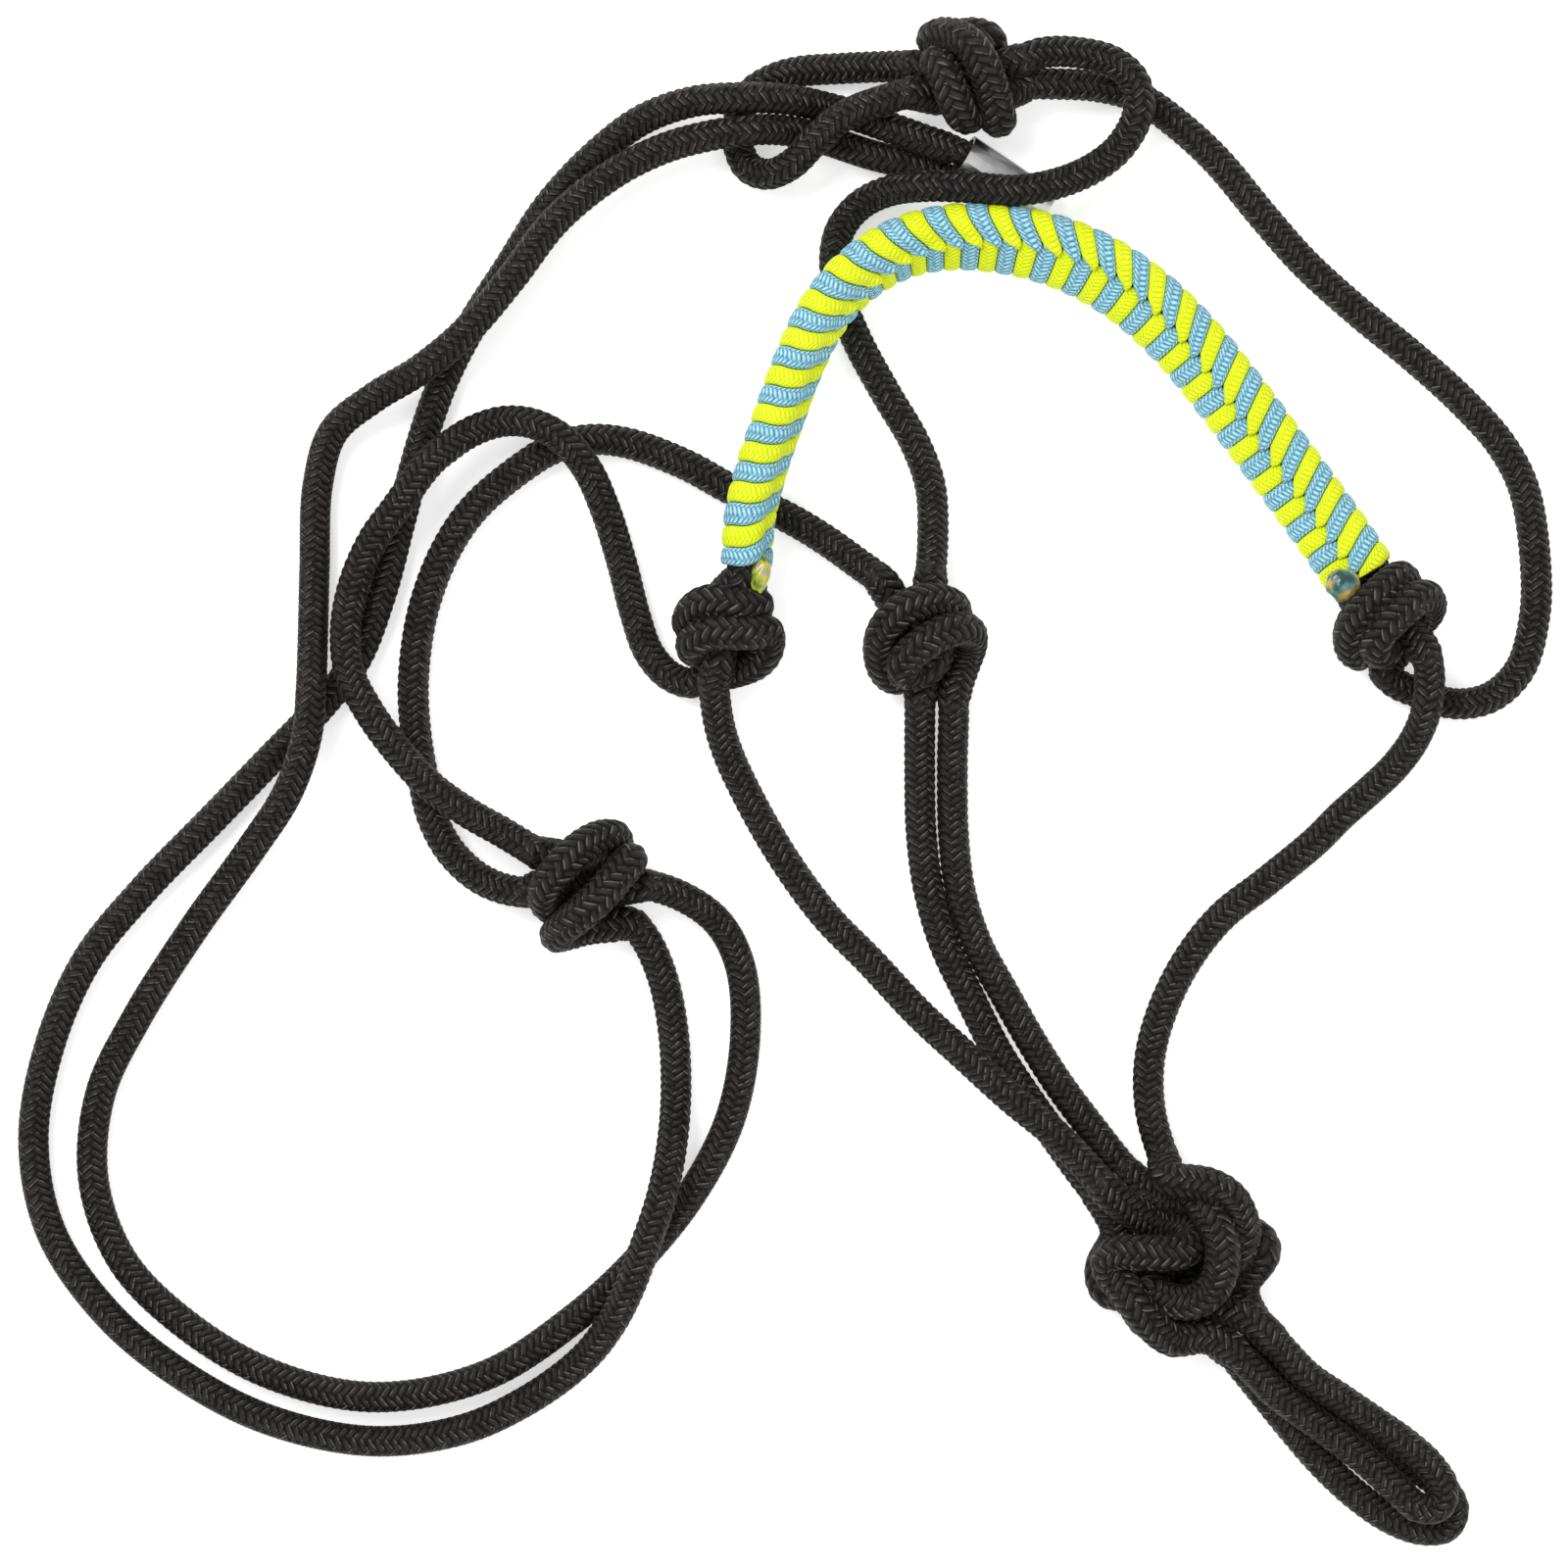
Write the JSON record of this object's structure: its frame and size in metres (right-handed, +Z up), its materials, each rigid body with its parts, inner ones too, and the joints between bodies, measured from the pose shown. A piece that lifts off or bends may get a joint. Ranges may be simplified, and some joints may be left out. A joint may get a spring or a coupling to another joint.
{
  "type": "rope halter",
  "caption": "Hand-tied rope halter laid flat: braided rope with overhand knots, a fiador knot and lead loop, a noseband wrapped in flat cords and a metal ferrule.",
  "frame": {"origin": "middle of the halter's footprint on the surface it lies on", "axes": "+X from the crown side to the lead loop side, +Y from the lead loop towards the eye knot, +Z up from the surface"},
  "size_m": [0.3894, 0.3848, 0.0269],
  "materials": {
    "braided_rope": "matte braid with a faint sheen",
    "yellow_cord": "matte flat braid",
    "blue_cord": "matte flat braid",
    "melted_cord": "glossy melted bead",
    "ferrule_metal": "satin"
  },
  "bodies": {
    "halter": {"nose_knot_left": "braided_rope", "nose_knot_right": "braided_rope", "throat_knot": "braided_rope", "crown_knot": "braided_rope", "eye_knot": "braided_rope", "fiador_knot": "braided_rope", "chin_rope_left": "braided_rope", "chin_rope_right": "braided_rope", "throat_rope_left": "braided_rope", "throat_rope_right": "braided_rope", "throat_rope_to_eye": "braided_rope", "throat_rope_to_crown": "braided_rope", "cheek_rope_left": "braided_rope", "cheek_rope_right": "braided_rope", "crown_rope_a": "braided_rope", "crown_rope_b": "braided_rope", "eye_loop": "braided_rope", "tail_ferrule": "ferrule_metal"},
    "noseband": {"noseband_core_outer": "braided_rope", "noseband_core_inner": "braided_rope", "wrap_cord_yellow": "yellow_cord", "wrap_cord_blue": "blue_cord", "melted_cord_end_left": "melted_cord", "melted_cord_end_right": "melted_cord"},
    "lead_loop": {"lead_loop_top": "braided_rope", "lead_loop_bottom": "braided_rope"}
  },
  "joints": [
    {"name": "noseband_lift", "type": "hinge", "parent": "halter", "child": "noseband", "pos_m": [-0.0138, 0.04, 0.012], "axis": [0.9998, 0.0181, 0], "range_deg": [0, 75]},
    {"name": "lead_loop_lift", "type": "hinge", "parent": "halter", "child": "lead_loop", "pos_m": [0.1176, -0.1349, 0.012], "axis": [-0.7, -0.7141, 0], "range_deg": [0, 45]}
  ]
}
